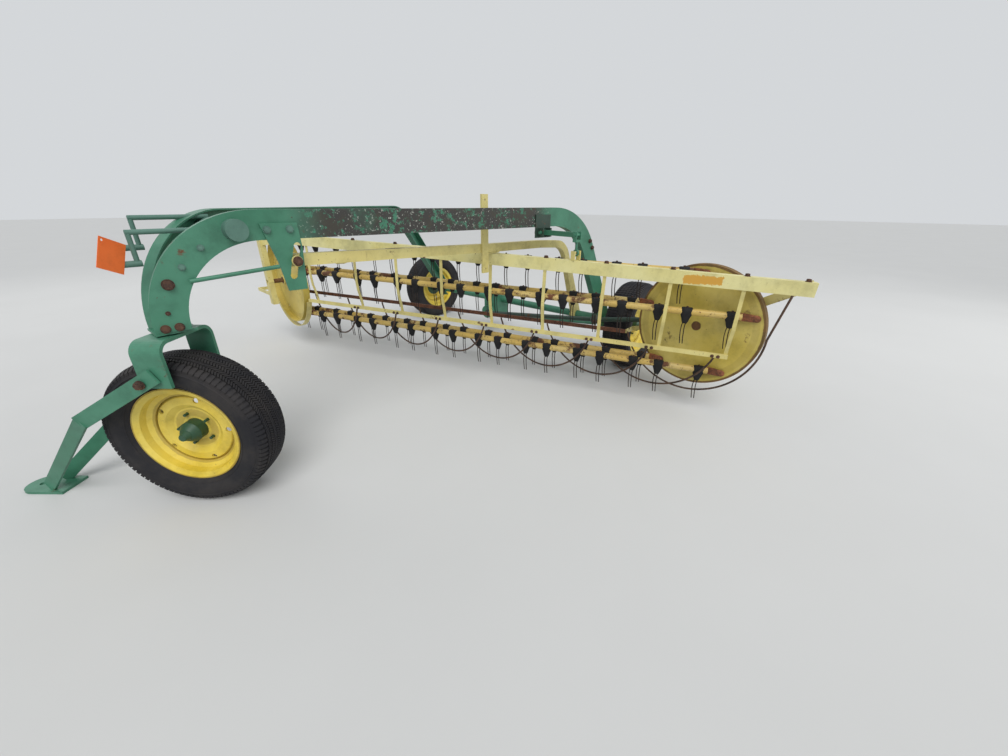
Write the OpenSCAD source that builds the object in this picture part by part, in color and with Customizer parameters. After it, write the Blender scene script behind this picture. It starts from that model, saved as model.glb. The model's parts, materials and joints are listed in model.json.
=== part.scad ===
// Towed rotary hay rake with a five-bar tined reel, three wheels and a short tongue.
// Millimetres, +X forward, +Y to the machine's left, +Z up. The ground is z = 0.
// The machine is drawn about the middle of its rear axle line, then moved by origin_x and origin_y
// so that the middle of its outline is over the origin.

/* [Placing] */
// Distance from the rear axle to the middle of the machine's length
origin_x = 1460; // [1000:1:1800]
// Distance from the dolly's line to the middle of the machine's width
origin_y = -160; // [-500:1:200]

/* [Wheels] */
// Outside diameter of the tyres
tyre_d = 660; // [640:5:680]
// Width over the sidewalls
tyre_w = 200; // [180:5:210]
// Diameter over the rim flanges
rim_d = 432; // [420:2:440]
// Width over the rim flanges
rim_w = 156; // [148:2:160]
// Left rear wheel, from the dolly's line
wheel_left_y = 770; // [740:5:790]
// Right rear wheel, from the dolly's line
wheel_right_y = -1600; // [-1700:5:-1500]

/* [Main frame] */
// Front of the two beams, from the rear axle
frame_len = 2720; // [2600:10:2800]
// Top of the beams above the ground
beam_top = 1184; // [1150:2:1220]
// Depth of the channel
beam_depth = 112; // [100:2:120]
// Width of the channel's flanges
beam_flange = 50; // [40:1:52]
// Thickness of the channel's walls
beam_wall = 6; // [4:1:8]
// Underside of the beams at the head
foot_z = 765; // [750:1:780]
// Outside of each web from the middle, at the head
foot_half = 62; // [60:1:66]
// Outer radius of the front arch
front_r = 410; // [380:5:430]
// Outer radius of the rear bend
rear_r = 460; // [400:5:500]
// Radius of the tube across the beams' front ends
cross_r = 40; // [36:1:46]
// Left beam's rear end, from the dolly's line
left_foot_y = 540; // [520:5:560]
// Right beam's rear end, from the dolly's line
right_foot_y = -1440; // [-1470:5:-1420]
// Angle of the left rear leg below level
left_turn = 62; // [55:1:70]
// Angle of the right rear leg below level
right_turn = 40; // [36:1:50]
// Radius of the rear axle tube
axle_r = 30; // [26:1:34]

/* [Dolly] */
// Kingpin, from the rear axle
kingpin_x = 2690; // [2680:1:2700]
// Dolly's heading as parked, to the left of straight ahead
dolly_yaw = -50.9; // [-85:0.1:85]
// Wheel centre in front of the kingpin
castor = 20; // [0:1:40]
// Gap between the front tyre's sidewall and the saddle strap
strap_gap = 26; // [20:1:32]
// Width of the saddle strap
strap_w = 112; // [90:2:130]
// Thickness of the saddle strap
strap_t = 14; // [10:1:16]
// Tongue pivot above the ground
tongue_z = 600; // [580:5:620]
// Hitch hole in front of the kingpin
hitch_reach = 850; // [800:5:900]
// Radius of the hitch hole
hitch_r = 12; // [10:0.5:16]
// Thickness of the hitch plate
plate_t = 12; // [10:1:16]

/* [Reel] */
// Rear disc's centre: from the rear axle, from the dolly's line, and above the ground
disc_at = [454, 1345, 530];
// Front disc's centre from the rear disc's: along the shaft, across and up
reel_run = [1247, -3011, 60];
// Angle of the disc shafts from straight ahead, to the right
reel_yaw = 4; // [0:0.5:8]
// Radius of the discs
disc_r = 366; // [360:1:370]
// Circle of the tine bars' pivots
bar_r = 318; // [310:1:320]
// Angle of the first tine bar
bar_angle = 19; // [0:1:71]
// Number of tine bars
bars = 5; // [5:1:5]
// Radius of a tine bar's tube
tube_r = 20; // [16:1:21]
// Length of a tine below its bar
tine_len = 195; // [180:1:200]
// Teeth between two strippers
teeth_per_bay = 2; // [1:1:2]

/* [Strippers] */
// Number of strippers
strippers = 9; // [9:1:9]
// First stripper, along the shaft from the rear disc
strip_first = 95; // [90:1:100]
// Distance between strippers along the shaft
strip_pitch = 140; // [136:1:142]
// From the discs' rim out to the stripper hoops and the two lower rails
hoop_gap = 49; // [44:1:54]
// Angle of the two lower rails below the shaft's level
rail_angle = 18; // [15:1:22]
// Top rail, across from the reel's axis
top_dy = 460; // [450:1:470]
// Top rail, above the reel's axis
top_dz = 320; // [310:1:330]
// Rise of the top rail towards its front end, against the reel's axis, per metre along the shaft
top_rise = 45; // [0:5:50]
// Height of the two lower rails
rail_h = 26; // [20:1:30]
// Thickness of the two lower rails
rail_t = 12; // [8:1:14]
// Width of the stripper straps
strap_flat = 20; // [16:1:28]
// Front end of the two lower rails, along the shaft from the rear disc
rail_end = 1262; // [1256:1:1266]

/* [Basket and lift] */
// Front pin of the basket: from the rear axle, from the dolly's line, and above the ground
pin_at = [2234, 100, 985];
// Basket arm's clamp on the axle, from the dolly's line
clamp_y = 250; // [220:5:300]
// Lift arm's pivot: from the rear axle, from the dolly's line, and above the ground
lift_at = [794, 433, 1041];
// Length of the lift arm
lift_arm_len = 265; // [260:1:290]
// Length of the lift link between its two eyes
link_len = 101; // [96:1:104]
// Lift travel of the basket, up, in degrees
lift_up = 1.0; // [0.5:0.1:1]
// Lift travel of the basket, down, in degrees
lift_down = 0.6; // [0.2:0.1:0.8]

/* [Hidden] */
$fn = 48;
e = 0.01;
frame_green = "seagreen";
reel_yellow = "khaki";
axle_z = tyre_d / 2;
beam_mid = beam_depth / 2;
hoop_r = disc_r + hoop_gap;
strap_y = tyre_w / 2 + strap_gap + strap_t;
cross_at = [frame_len - 299, beam_top - 71];
far_crank_z = beam_top - 29;
run_len = norm(reel_run);
run_yaw = atan2(reel_run[1], reel_run[0]);
arm_yaw = atan2(clamp_y - pin_at[1], -pin_at[0]);
arm_span = norm([pin_at[0], clamp_y - pin_at[1]]);
// Top of the top rail below the lift link.
reel_at_lift_z = disc_at[2] + top_h(430) + 36 + reel_axis(430)[2];
// Where a hoop ends, just below the lower rails.
hoop_end = asin(sin(rail_angle) + (rail_h / 2 + 2.4) / hoop_r);
band_end = hoop_end - 0.1;
saddle_top = foot_z - 13;
left_yaw = atan2(left_foot_y - foot_half, -frame_len);
right_yaw = atan2(right_foot_y + foot_half, -frame_len);
left_len = norm([frame_len, left_foot_y - foot_half]);
right_len = norm([frame_len, right_foot_y + foot_half]);

function arc(c, r, a0, a1, n) = [for (i = [0:n]) let (a = a0 + (a1 - a0) * i / n) c + r * [cos(a), sin(a)]];
function reel_axis(x) = reel_run * x / reel_run[0];
// Height of the top rail above the reel's axis; it crosses under the basket arm at 680.
function top_h(x) = top_dz + top_rise * (x - 680) / 1000;
function bar_pivot(i) = [0, bar_r * cos(bar_angle + 72 * i), bar_r * sin(bar_angle + 72 * i)];
// Start of a beam's rear bend, so that its leg's middle meets the axle's line.
function bend_start(len, turn) = let (r = rear_r - beam_mid)
    len - r * sin(turn) - (beam_top - rear_r + r * cos(turn) - axle_z) / tan(turn);

module rake() {
    translate([-origin_x, -origin_y, 0]) children();
}

module reel() {
    rake() translate(disc_at) rotate(-reel_yaw) children();
}

module dolly() {
    rake() translate([kingpin_x, 0, 0]) rotate(dolly_yaw) children();
}

// Lays what is drawn along +Z from point a towards point b.
module along(a, b) {
    d = b - a;
    translate(a) rotate([0, acos(d[2] / norm(d)), atan2(d[1], d[0])]) children();
}

module rod(a, b, r) {
    along(a, b) cylinder(r = r, h = norm(b - a), $fn = 24);
}

module flat_bar(a, b, w, t) {
    along(a, b) translate([-w / 2, -t / 2, 0]) cube([w, t, norm(b - a)]);
}

// Outline of an arched beam seen from its side, drawn in by t all round except at its ends.
function beam_outline(len, turn, t, ext) = let (
    fc = [front_r - 25, beam_top - front_r],
    rc = [bend_start(len, turn), beam_top - rear_r],
    way = [cos(turn), -sin(turn)],
    out = [sin(turn), cos(turn)],
    leg = (rc[1] + (rear_r - beam_mid) * cos(turn) - axle_z) / sin(turn) + 48 + ext)
    concat([[fc[0] - front_r + t, foot_z - ext]], arc(fc, front_r - t, 180, 90, 24),
        arc(rc, rear_r - t, 90, 90 - turn, 20), [rc + (rear_r - t) * out + leg * way],
        [rc + (rear_r - beam_depth + t) * out + leg * way],
        arc(rc, rear_r - beam_depth + t, 90 - turn, 90, 20),
        arc(fc, front_r - beam_depth + t, 90, 180, 24),
        [[fc[0] - front_r + beam_depth - t, foot_z - ext]]);

module channel(len, turn) {
    difference() {
        translate([0, 0, -beam_flange]) linear_extrude(beam_flange) polygon(beam_outline(len, turn, 0, 0));
        translate([0, 0, -beam_flange - 1]) linear_extrude(beam_flange + 1 - beam_wall)
            polygon(beam_outline(len, turn, beam_wall, 20));
    }
}

module axle_line(r, y0, y1) {
    translate([0, y0, axle_z]) rotate([-90, 0, 0]) cylinder(r = r, h = y1 - y0);
}

module cross_line(r, y0, y1) {
    translate([cross_at[0], y0, cross_at[1]]) rotate([-90, 0, 0]) cylinder(r = r, h = y1 - y0);
}

module on_left_beam() {
    translate([frame_len, foot_half, 0]) rotate(left_yaw) rotate([90, 0, 0]) children();
}

module beam_left() {
    color(frame_green) rake() difference() {
        on_left_beam() channel(left_len, left_turn);
        axle_line(axle_r + e, 0, 700);
        cross_line(cross_r + e, 0, 200);
    }
}

module beam_right() {
    color(frame_green) rake() difference() {
        translate([frame_len, -foot_half, 0]) rotate(right_yaw) rotate([90, 0, 0]) mirror([0, 0, 1])
            channel(right_len, right_turn);
        axle_line(axle_r + e, -1600, -1300);
        cross_line(cross_r + e, -300, -100);
        translate([cross_at[0] - 1, -150, far_crank_z]) rotate([0, 90, 0]) cylinder(r = 9 + e, h = 110);
    }
}

module front_head() {
    color(frame_green) rake() translate([kingpin_x, 0, 0]) difference() {
        union() {
            translate([-75, -foot_half - 2, foot_z - 8]) cube([130, 2 * foot_half + 4, 8]);
            translate([0, 0, foot_z - 8]) cylinder(r = 23, h = 68);
        }
        translate([0, 0, foot_z - 9]) cylinder(r = 19, h = 140);
    }
}

module cross_tube() {
    color(frame_green) rake() difference() {
        cross_line(cross_r, -246, 148);
        cross_line(cross_r - 6, -254, 140);
        translate([cross_at[0] - 121, 0, cross_at[1]]) rotate([0, 90, 0]) cylinder(r = 9 + e, h = 200);
        translate([cross_at[0] - 21, -150, far_crank_z]) rotate([0, 90, 0]) cylinder(r = 9 + e, h = 100);
    }
}

// Hanger plate outside the left beam, with the slot that the basket's front pin rides in.
module hanger_plate() {
    reach = norm([pin_at[0], pin_at[2] - axle_z]);
    rise = atan2(pin_at[2] - axle_z, pin_at[0]);
    color(frame_green) rake() difference() {
        on_left_beam() linear_extrude(10)
            polygon([[389, 1134], [527, 1134], [531, 1040], [520, 866], [446, 866], [430, 980]]);
        translate([0, 0, axle_z]) for (a = [rise - lift_down - 0.9:0.25:rise + lift_up + 0.5])
            rotate([0, -a, 0]) translate([reach, 90, 0]) rotate([-90, 0, 0]) cylinder(r = 15, h = 90);
    }
}

module stay_rod() {
    color(frame_green) rake() rod([2600, 92, 942], [2298.5, 144.6, 967.8], 8);
}

module crank(y, x0, x1, z) {
    color(frame_green) rake() union() {
        translate([x0, y, z]) rotate([0, 90, 0]) cylinder(r = 9, h = x1 - x0 + 6);
        translate([x1, y, z - 104]) cylinder(r = 8, h = 110);
        translate([x1 - 12, y, z - 104]) rotate([0, 90, 0]) cylinder(r = 11, h = 80);
    }
}

module crank_near() crank(0, cross_at[0] - 91, frame_len - 8, cross_at[1]);

module crank_far() crank(-150, cross_at[0] - 1, frame_len - 52, far_crank_z);

module tag() {
    color("orangered") rake() translate([2776.3, 30.1, 1043.8]) rotate([0, 0, 34.5]) rotate([0, -25, 0]) difference() {
        cube([86, 2, 104], center = true);
        translate([33, 0, 42]) rotate([90, 0, 0]) cylinder(r = 4, h = 10, center = true);
    }
}

module axle_tube() {
    color(frame_green) rake() union() {
        axle_line(axle_r, wheel_right_y + 100, wheel_left_y - 100);
        for (s = [[wheel_left_y, -1], [wheel_right_y, 1]])
            axle_line(20, s[0] + s[1] * 100 - 55 + s[1] * -55, s[0] + s[1] * 100 + 55 + s[1] * -55);
    }
}

module rear_gearbox() {
    color(frame_green) rake() difference() {
        union() {
            translate([-85, -720, 180]) cube([190, 150, 220]);
            translate([60, -645, 222]) rotate([0, 90, 0]) cylinder(r = 60, h = 100);
        }
        axle_line(axle_r + e, -800, -500);
    }
}

module axle_stay() {
    color(frame_green) rake() rod([90, -568, 205], [39, 480, 291], 14);
}

module drive_shaft() {
    joint_a = [366, 628, 420];
    color("dimgray") rake() union() {
        translate([160.3, -615, 225]) rotate([0, 90, 0]) cylinder(r = 26, h = 30);
        rod([182, -612, 225], joint_a, 17);
        translate(joint_a) sphere(r = 34);
        rod(joint_a, [304, 1218, 512], 17);
        along([304, 1218, 512], [300, 1258, 519]) cylinder(r = 30, h = 22);
    }
}

module lift_bracket() {
    color("darkslategray") rake() on_left_beam() difference() {
        union() {
            translate([1905, 1008, 0]) cube([130, 136, 8]);
            translate([1925, lift_at[2], 0]) cylinder(r = 22, h = 8);
            for (u = [1925, 1993]) translate([u, 1015, 8]) cube([10, 52, 44]);
        }
        translate([1900, lift_at[2], 32]) rotate([0, 90, 0]) cylinder(r = 10.5, h = 140);
    }
}

module saddle() {
    x = strap_w / 2;
    in_r = 36;
    out_r = in_r + strap_t;
    hy = strap_y;
    color(frame_green) dolly() difference() {
        union() {
            translate([-x, 0, 0]) rotate([90, 0, 90]) linear_extrude(strap_w) polygon(concat(
                [[hy, 575]], arc([hy - out_r, saddle_top - out_r], out_r, 0, 90, 8),
                arc([out_r - hy, saddle_top - out_r], out_r, 90, 180, 8), [[-hy, 280], [strap_t - hy, 280]],
                arc([out_r - hy, saddle_top - out_r], in_r, 180, 90, 8),
                arc([hy - out_r, saddle_top - out_r], in_r, 90, 0, 8), [[hy - strap_t, 575]]));
            translate([0, 0, saddle_top - 1]) cylinder(r = 18, h = 80);
            translate([castor, strap_t - hy - 1, axle_z]) rotate([-90, 0, 0]) cylinder(r = 20, h = hy - strap_t + 45);
            translate([castor, strap_t - hy - 1, axle_z]) rotate([-90, 0, 0]) cylinder(r = 40, h = 47);
            for (s = [-1, 1]) translate([36, s * (hy + 1), tongue_z]) rotate([90, 0, 0])
                cylinder(r = 9, h = 44, center = true);
        }
    }
}

// The tongue's two bent bars, outside the saddle straps and over the hitch plate's rear corners.
module tongue() {
    knee = [345, 430];
    side = strap_y + 12;
    color(frame_green) dolly() difference() {
        for (s = [-1, 1]) {
            flat_bar([-14, s * side, tongue_z + 30], [knee[0], s * side, knee[1]], 60, 10);
            flat_bar([knee[0] - 12, s * (side + 1), knee[1] + 8], [hitch_reach - 70, s * 32, 20], 56, 10);
        }
        for (s = [-1, 1]) translate([36, s * side, tongue_z]) rotate([90, 0, 0])
            cylinder(r = 9.5, h = 30, center = true);
        translate([0, -200, plate_t + 0.3 - 80]) cube([1000, 400, 80]);
    }
}

module hitch_plate() {
    color(frame_green) dolly() difference() {
        union() {
            translate([hitch_reach - 150, -60, 0]) cube([150, 120, plate_t]);
            translate([hitch_reach, 0, 0]) cylinder(r = 60, h = plate_t);
        }
        translate([hitch_reach, 0, -1]) cylinder(r = hitch_r, h = plate_t + 2);
    }
}

// One wheel is drawn about its own centre, its axis along +Y and its outer face towards +Y.
module tyre() {
    w = tyre_w / 2;
    r = tyre_d / 2;
    f = rim_d / 2;
    b = rim_w / 2 - 6;
    color("black") rotate([-90, 0, 0]) rotate_extrude($fn = 60) polygon([[f - 18, 6 - b], [f, -b],
        [f + 20, 7 - w], [f + 46, -w], [f + 76, 3 - w], [r - 14, 12 - w], [r - 4, 34 - w], [r, 0],
        [r - 4, w - 34], [r - 14, w - 12], [f + 76, w - 3], [f + 46, w], [f + 20, w - 7], [f, b], [f - 18, b - 6]]);
}

module rim() {
    f = rim_d / 2;
    b = rim_w / 2 - 6;
    color("gold") rotate([-90, 0, 0]) difference() {
        union() {
            rotate_extrude($fn = 60) polygon([[f, -b - 6], [f, -b], [f - 18, 6 - b], [f - 24, -36], [168, -22],
                [168, 20], [f - 24, 36], [f - 18, b - 6], [f, b], [f, b + 6], [f - 8, b + 6], [f - 26, b - 4],
                [f - 32, 42], [160, 26], [160, -26], [f - 32, -40], [f - 26, 4 - b], [f - 8, -b - 6]]);
            rotate_extrude($fn = 60) polygon([[46, 12], [95, 12], [118, 30], [150, 26], [161, 14], [161, 6],
                [148, 18], [120, 22], [98, 5], [46, 5]]);
        }
        for (a = [0:72:359]) rotate(a) translate([70, 0, 0]) cylinder(r = 7, h = 40, $fn = 24);
        for (a = [36:72:359]) rotate(a) translate([142, 0, 0]) cylinder(r = 11, h = 60, $fn = 24);
    }
}

module hub(bore) {
    color("seagreen") rotate([-90, 0, 0]) difference() {
        union() {
            translate([0, 0, -48]) cylinder(r = 45, h = 100);
            translate([0, 0, -3]) cylinder(r = 88, h = 8);
            translate([0, 0, 52]) cylinder(r1 = 44, r2 = 26, h = 26);
            translate([0, 0, 78]) cylinder(r1 = 24, r2 = 14, h = 22);
            for (a = [0:72:359]) rotate(a) translate([70, 0, 0]) cylinder(r = 6, h = 30, $fn = 24);
        }
        translate([0, 0, -49]) cylinder(r = bore, h = 98);
    }
}

module front_wheel() {
    dolly() translate([castor, 0, axle_z]) children();
}

module left_wheel() {
    rake() translate([0, wheel_left_y, axle_z]) children();
}

module right_wheel() {
    rake() translate([0, wheel_right_y, axle_z]) mirror([0, 1, 0]) children();
}

// The basket arm's own frame: along it from the front pin, up, and out to the machine's left.
module on_arm() {
    rake() translate([pin_at[0], pin_at[1], 0]) rotate(arm_yaw) rotate([90, 0, 0]) children();
}

module basket_arm() {
    bend = [arm_span - 400, 750];
    top = beam_top - 260;
    color(reel_yellow) difference() {
        union() {
            on_arm() translate([0, 0, -22]) {
                linear_extrude(44) polygon(concat([[-34, pin_at[2] + 25], [1200, 975], [1700, top + 42]],
                    arc([bend[0] + 50, top - 150], 182, 80, 28, 8),
                    [[arm_span + 44, axle_z + 20], [arm_span - 44, axle_z + 20]],
                    arc([bend[0] + 50, top - 150], 130, 28, 80, 8),
                    [[1700, top - 8], [1200, 925], [-34, pin_at[2] - 25]]));
                translate([arm_span, axle_z, 0]) cylinder(r = 46, h = 44);
            }
            rake() translate([pin_at[0], pin_at[1] - 22, pin_at[2]]) rotate([-90, 0, 0]) cylinder(r = 9, h = 96);
            rake() translate([pin_at[0], pin_at[1] + 66, pin_at[2]]) rotate([-90, 0, 0]) cylinder(r = 22, h = 8);
        }
        rake() axle_line(axle_r + 0.5, 0, 500);
    }
}

module centre_post() {
    color(reel_yellow) on_arm() difference() {
        union() {
            translate([1106, 805, 22.3]) cube([52, 452, 12]);
            translate([1140, 918.6, -22]) cube([122, 5, 52]);
        }
        for (z = [830, 1105, 1225]) translate([1132, z, 20]) cylinder(r = 7, h = 20);
    }
}

module front_brace() {
    color(reel_yellow) rake() flat_bar([2010, 99, 948.2], [1326.4, -656, 905], 8, 40);
}

// Lays a section along the reel: its x runs down, its y runs out to the front.
module reel_bar(x0, x1, dy, dz, rise = 0) {
    way = reel_run + [0, 0, rise * reel_run[0] / 1000];
    translate(reel_axis(x0) + [0, dy, dz]) rotate([0, acos(way[2] / norm(way)), run_yaw])
        linear_extrude((x1 - x0) * norm(way) / way[0]) children();
}

module top_rail() {
    color(reel_yellow) reel() reel_bar(-25, 1300, top_dy, top_h(-25), top_rise)
        polygon([[-36, -40], [-36, 6], [36, 6], [36, 0], [-30, 0], [-30, -40]]);
}

module low_rail(x0, side) {
    reel_bar(x0, rail_end, side * hoop_r * cos(rail_angle), -hoop_r * sin(rail_angle))
        translate([-rail_h / 2, -rail_t / 2]) square([rail_h, rail_t]);
}

module lower_rail() {
    color(reel_yellow) reel() low_rail(70, 1);
}

module rear_rail() {
    color("peru") reel() low_rail(20, -1);
}

// Straps from behind the top rail's face down to the back of the lower rail.
module strips() {
    t = 5;
    back = cos(run_yaw) * (hoop_r * cos(rail_angle) - top_dy) - rail_t / 2 - 0.3;
    half = strap_flat / 2 * reel_run[0] / run_len;
    color(reel_yellow) reel() for (x = concat([for (k = [0:strippers - 2]) strip_first + k * strip_pitch], [rail_end - 16])) {
        fall = top_h(x) + hoop_r * sin(rail_angle);
        way = [[-29.5, -0.3], [60, -0.3], [260, 5], [fall - 140, -2], [fall - 60, back + 7], [fall - 18, back],
            [fall + 11, back]];
        reel_bar(x - half, x + half, top_dy, top_h(x))
            polygon(concat(way, [for (i = [len(way) - 1:-1:0]) way[i] - [0, t]]));
    }
}

module hoop(x, a0, a1) {
    translate(reel_axis(x)) rotate([90, 0, 90]) rotate(a0) rotate_extrude(angle = a1 - a0, $fn = 72)
        translate([hoop_r, 0]) circle(r = 6, $fn = 6);
}

module hoops() {
    near = reel_axis(14);
    color("dimgray") reel() {
        for (k = [0:strippers - 2]) hoop(strip_first + k * strip_pitch, 180 + hoop_end, 360 - hoop_end);
        hoop(14, 198, 360);
        rod(near + [0, hoop_r, -0.5], [near[0], near[1] + top_dy + 9, near[2] + top_h(14) - 38], 6);
    }
}

// Flat band round the front end, under the two lower rails.
module end_band() {
    color(reel_yellow) reel() translate(reel_axis(rail_end)) rotate([90, 0, 90]) rotate(180 + band_end)
        rotate_extrude(angle = 180 - 2 * band_end, $fn = 72) translate([hoop_r - 3, -20]) square([6, 40]);
}

module front_post() {
    x = reel_run[0] + 150;
    at = [x, reel_run[1], reel_run[2]];
    low = reel_axis(rail_end) + [-12, -hoop_r * cos(rail_angle) - rail_t / 2 * cos(run_yaw) - 0.3,
        -hoop_r * sin(rail_angle)];
    color(reel_yellow) reel() difference() {
        union() {
            difference() {
                translate(at + [0, -32, -190]) cube([42, 64, 540]);
                translate(at + [-1, -26, -191]) cube([37, 52, 542]);
            }
            flat_bar(at + [20, 28, 320], reel_axis(1300) + [-15, top_dy + 20, top_h(1285) - 2], 50, 12);
            translate([x, low[1] - 8, low[2] - 14]) cube([8, at[1] - 30 - low[1], 28]);
            translate([low[0], low[1] - 8, low[2] - 14]) cube([x + 8 - low[0], 8, 28]);
            translate(at) rotate([0, 90, 0]) cylinder(r = 34, h = 40);
        }
        translate(at + [-20, 0, 0]) rotate([0, 90, 0]) cylinder(r = 19, h = 80);
    }
}

module rear_bracket() {
    low = [-hoop_r * cos(rail_angle) - 46, -hoop_r * sin(rail_angle)];
    color(reel_yellow) reel() difference() {
        union() {
            flat_bar([-88, 0, 0], [-88, top_dy + 42, top_h(-60) + 18], 50, 12);
            flat_bar([-88, 0, 0], [-88, low[0] + 3, low[1]], 30, 12);
            translate([-96, 0, 0]) rotate([0, 90, 0]) cylinder(r = 75, h = 16);
            translate([-92, top_dy + 8, top_h(-60) + 14]) cube([58, 34, 14]);
            translate([-91, low[0] - 6, low[1] - 13]) cube([105.2, 12, 26]);
        }
        translate([-100, 0, 0]) rotate([0, 90, 0]) cylinder(r = 21, h = 30);
    }
}

module reel_gearbox() {
    color(frame_green) reel() difference() {
        union() {
            translate([-250, -72, -78]) cube([153.7, 144, 156]);
            translate([-172, -100, -10]) rotate([-90, 0, 0]) cylinder(r = 34, h = 40);
        }
        translate([-158, 0, 0]) rotate([0, 90, 0]) cylinder(r = 21, h = 70);
    }
}

// Disc about its own centre, its rim turned away from the bars along +X.
module disc(hub_len, shaft_len) {
    difference() {
        union() {
            rotate([0, 90, 0]) cylinder(r = disc_r, h = 5, $fn = 72);
            rotate([0, 90, 0]) difference() {
                cylinder(r = disc_r, h = 50, $fn = 72);
                translate([0, 0, 1]) cylinder(r = disc_r - 6, h = 50, $fn = 72);
            }
            rotate([0, 90, 0]) cylinder(r = 70, h = 14);
            rotate([0, 90, 0]) cylinder(r = 40, h = hub_len);
            rotate([0, 90, 0]) cylinder(r = 18, h = shaft_len);
        }
        for (i = [0:bars - 1]) translate(bar_pivot(i)) translate([-2, 0, 0]) rotate([0, 90, 0])
            cylinder(r = 11, h = 20);
    }
}

module disc_rear() {
    color(reel_yellow) reel() mirror([1, 0, 0]) disc(74, 110);
}

module disc_front() {
    color(reel_yellow) reel() translate(reel_run) disc(70, 172);
}

// Rubber mount with its pair of wire tines, hanging from a bar at the origin.
module tooth() {
    wire = [[-3, -52], [-8, -tine_len * 0.55], [-2, -tine_len], [3, -tine_len], [-3, -tine_len * 0.55], [3, -52]];
    rotate([90, 0, run_yaw]) translate([0, 0, -14]) linear_extrude(28)
        polygon([[-31, 24], [31, 24], [33, -12], [16, -70], [-16, -70], [-33, -12]]);
    for (s = [-11, 11]) rotate(run_yaw) translate([s, 0, 0]) rotate(-run_yaw) translate([-2.5, 0, 0])
        rotate([90, 0, 90]) linear_extrude(5) polygon(wire);
}

module tine_bar(i) {
    at = bar_pivot(i);
    last = reel_run[0];
    color("burlywood") reel() translate(at) union() {
        difference() {
            reel_bar(0, last, 0, 0) circle(r = tube_r, $fn = 24);
            for (x = [-78, last - 22]) translate([x, reel_axis(x + 50)[1] - 250, -100]) cube([100, 500, 300]);
        }
        for (k = [0:strippers - 2]) for (j = [0:teeth_per_bay - 1])
            translate(reel_axis(strip_first + strip_pitch * (k + 0.29 + 0.42 * j))) tooth();
        translate(reel_axis(strip_first - strip_pitch * 0.35)) tooth();
        for (end = [[0, 1], [last, -1]]) {
            way = end[1];
            translate(reel_axis(end[0])) {
                translate([0, 0, -22]) linear_extrude(44)
                    polygon([for (q = [[10, -28], [22, 1], [22, 104], [10, 75]]) [q[0] * way, -q[1] * way]]);
                rotate([0, 90, 0]) translate([0, 0, way > 0 ? -20 : -22]) cylinder(r = 10, h = 42);
            }
        }
    }
}

module lift_arm() {
    color(frame_green) rake() translate(lift_at) rotate(left_yaw) rotate([90, 0, 0]) difference() {
        union() {
            rotate([0, 90, 0]) cylinder(r = 10, h = 94, center = true);
            translate([-12, -14, 0]) cube([24, 28, lift_arm_len]);
            translate([0, 0, lift_arm_len]) rotate([0, 90, 0]) cylinder(r = 8, h = 56, center = true);
        }
    }
}

module lift_link() {
    color(frame_green) rake() translate(lift_at) rotate(left_yaw) rotate([90, 0, 0])
        translate([0, 0, lift_arm_len]) difference() {
            union() {
                for (s = [-22, 17]) translate([s, -26, -14]) cube([5, 44, 28]);
                translate([-22, -40, -14]) cube([44, 14, 28]);
                translate([0, -link_len + 14, 0]) rotate([-90, 0, 0]) cylinder(r = 8, h = link_len - 50);
                translate([0, -link_len, 0]) rotate([0, 90, 0]) cylinder(r = 20, h = 12, center = true);
            }
            rotate([0, 90, 0]) cylinder(r = 8.5, h = 80, center = true);
            translate([0, -link_len, 0]) rotate([0, 90, 0]) cylinder(r = 12, h = 20, center = true);
        }
}

// Ears and pin on the top rail that the lift link's lower eye rides on, with play all round.
module lift_lug() {
    seat = reel_at_lift_z + 1.3 + 0.035 * top_rise;
    color(reel_yellow) rake() translate(lift_at) rotate(left_yaw) rotate([90, 0, 0])
        translate([0, 0, lift_arm_len]) union() {
            for (s = [-28, 22]) translate([s, seat - lift_at[2], -15]) cube([6, lift_at[2] - link_len + 12 - seat, 30]);
            translate([0, -link_len, 0]) rotate([0, 90, 0]) cylinder(r = 7, h = 50, center = true);
        }
}

beam_left();
beam_right();
front_head();
cross_tube();
hanger_plate();
stay_rod();
crank_near();
crank_far();
tag();
axle_tube();
rear_gearbox();
axle_stay();
drive_shaft();
lift_bracket();
saddle();
tongue();
hitch_plate();
front_wheel() hub(21);  // front_hub
front_wheel() rim();  // front_rim
front_wheel() tyre();  // front_tyre
left_wheel() hub(21);  // left_hub
left_wheel() rim();  // left_rim
left_wheel() tyre();  // left_tyre
right_wheel() hub(21);  // right_hub
right_wheel() rim();  // right_rim
right_wheel() tyre();  // right_tyre
basket_arm();
centre_post();
front_brace();
top_rail();
lower_rail();
rear_rail();
strips();
hoops();
end_band();
front_post();
rear_bracket();
reel_gearbox();
lift_lug();
disc_rear();
disc_front();
tine_bar(0);  // tine_bar_1
tine_bar(1);  // tine_bar_2
tine_bar(2);  // tine_bar_3
tine_bar(3);  // tine_bar_4
tine_bar(4);  // tine_bar_5
lift_arm();
lift_link();
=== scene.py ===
"""Looks for the towed hay rake: paint, rust, rubber and wire, the tyres' tread and the small fasteners.

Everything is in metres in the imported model's own frame: +X the way the rake is towed, +Y to its left, +Z up.
"""
import json
import math
import random

import bmesh
import bpy
from mathutils import Matrix, Vector


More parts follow.
